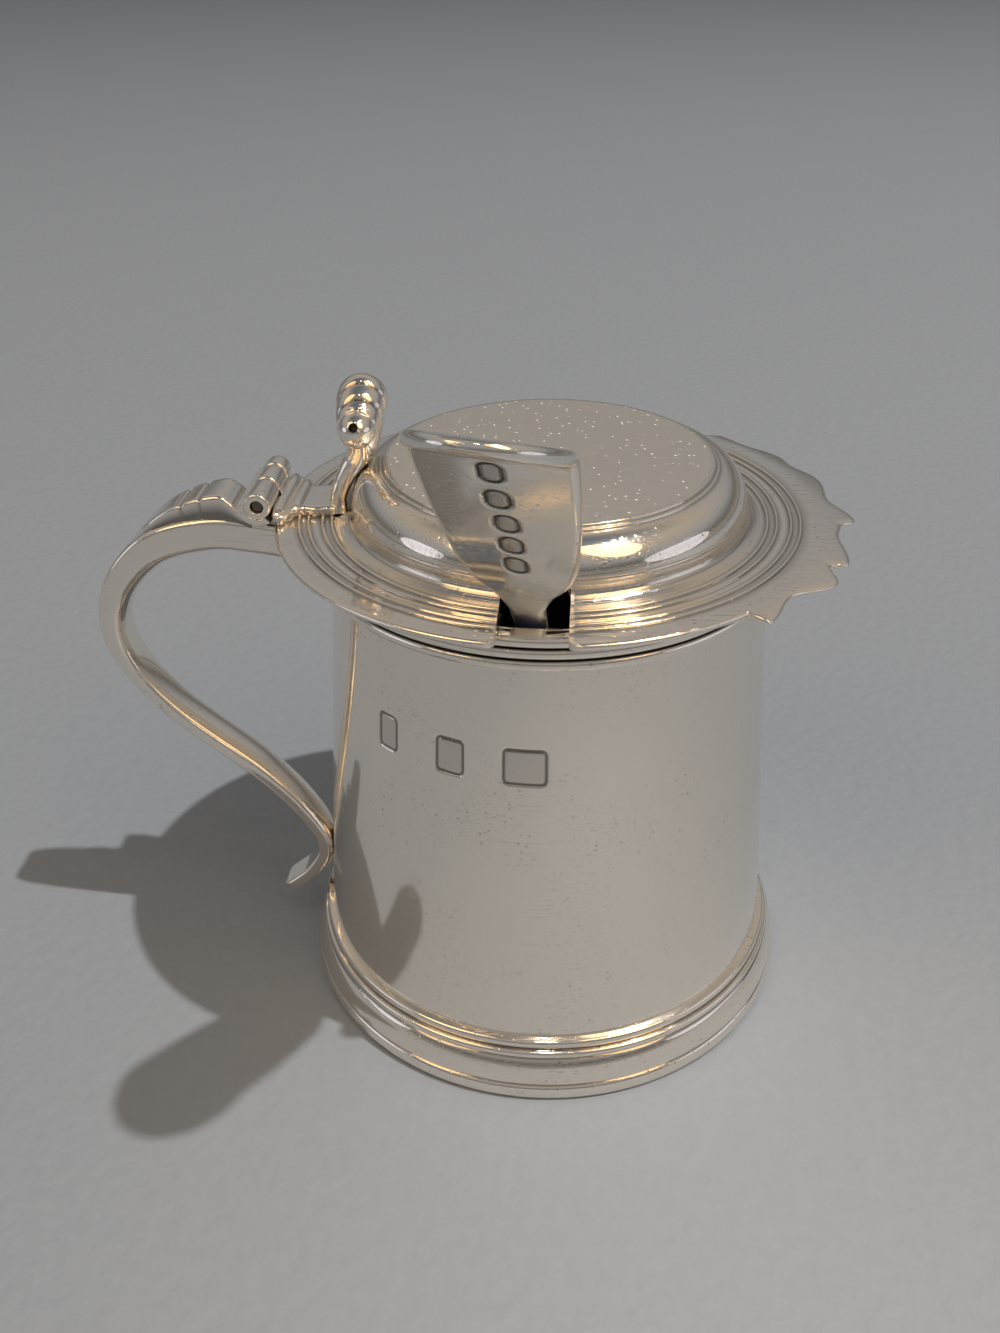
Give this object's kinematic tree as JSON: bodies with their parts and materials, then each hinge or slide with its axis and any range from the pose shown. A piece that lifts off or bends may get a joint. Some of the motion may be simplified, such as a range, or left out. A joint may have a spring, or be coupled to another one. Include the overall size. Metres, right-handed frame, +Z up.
{
  "type": "mustard pot",
  "caption": "Silver mustard pot in tankard form: tapered body, scroll handle, hinged flat-topped lid with a shaped front peak, glass liner and a spoon that stands in the lid's notch.",
  "frame": {"origin": "centre of the foot ring, on the table", "axes": "+Z up along the axis of the body, +X to the front peak of the lid, -X to the handle, the spoon notch on the -Y side"},
  "size_m": [0.0855, 0.0781, 0.0873],
  "materials": {
    "silver": "polished silver with fine scratches",
    "pin_silver": "drawn wire, dulled",
    "liner_glass": "clear blue glass",
    "spoon_silver": "polished silver, slightly satin"
  },
  "bodies": {
    "pot": {"body_wall": "silver", "base_plate": "silver", "foot_moulding": "silver", "rim_moulding": "silver", "handle": "silver", "handle_strap": "silver", "hinge_knuckle_near": "silver", "hinge_knuckle_far": "silver", "hinge_pin": "pin_silver", "glass_liner": "liner_glass"},
    "lid": {"lid_cover": "silver", "lid_bezel": "silver", "lid_strap": "silver", "hinge_knuckle_lid": "silver", "thumbpiece": "silver"},
    "spoon": {"mustard_spoon": "spoon_silver"}
  },
  "joints": [
    {"name": "lid_hinge", "type": "hinge", "parent": "pot", "child": "lid", "pos_m": [-0.0311, 0, 0.06245], "axis": [0, -1, 0], "range_deg": [0, 105]},
    {"name": "spoon_lift", "type": "slide", "parent": "lid", "child": "spoon", "axis": [-0.0629, -0.5985, 0.7986], "range_m": [0, 0.06]}
  ]
}
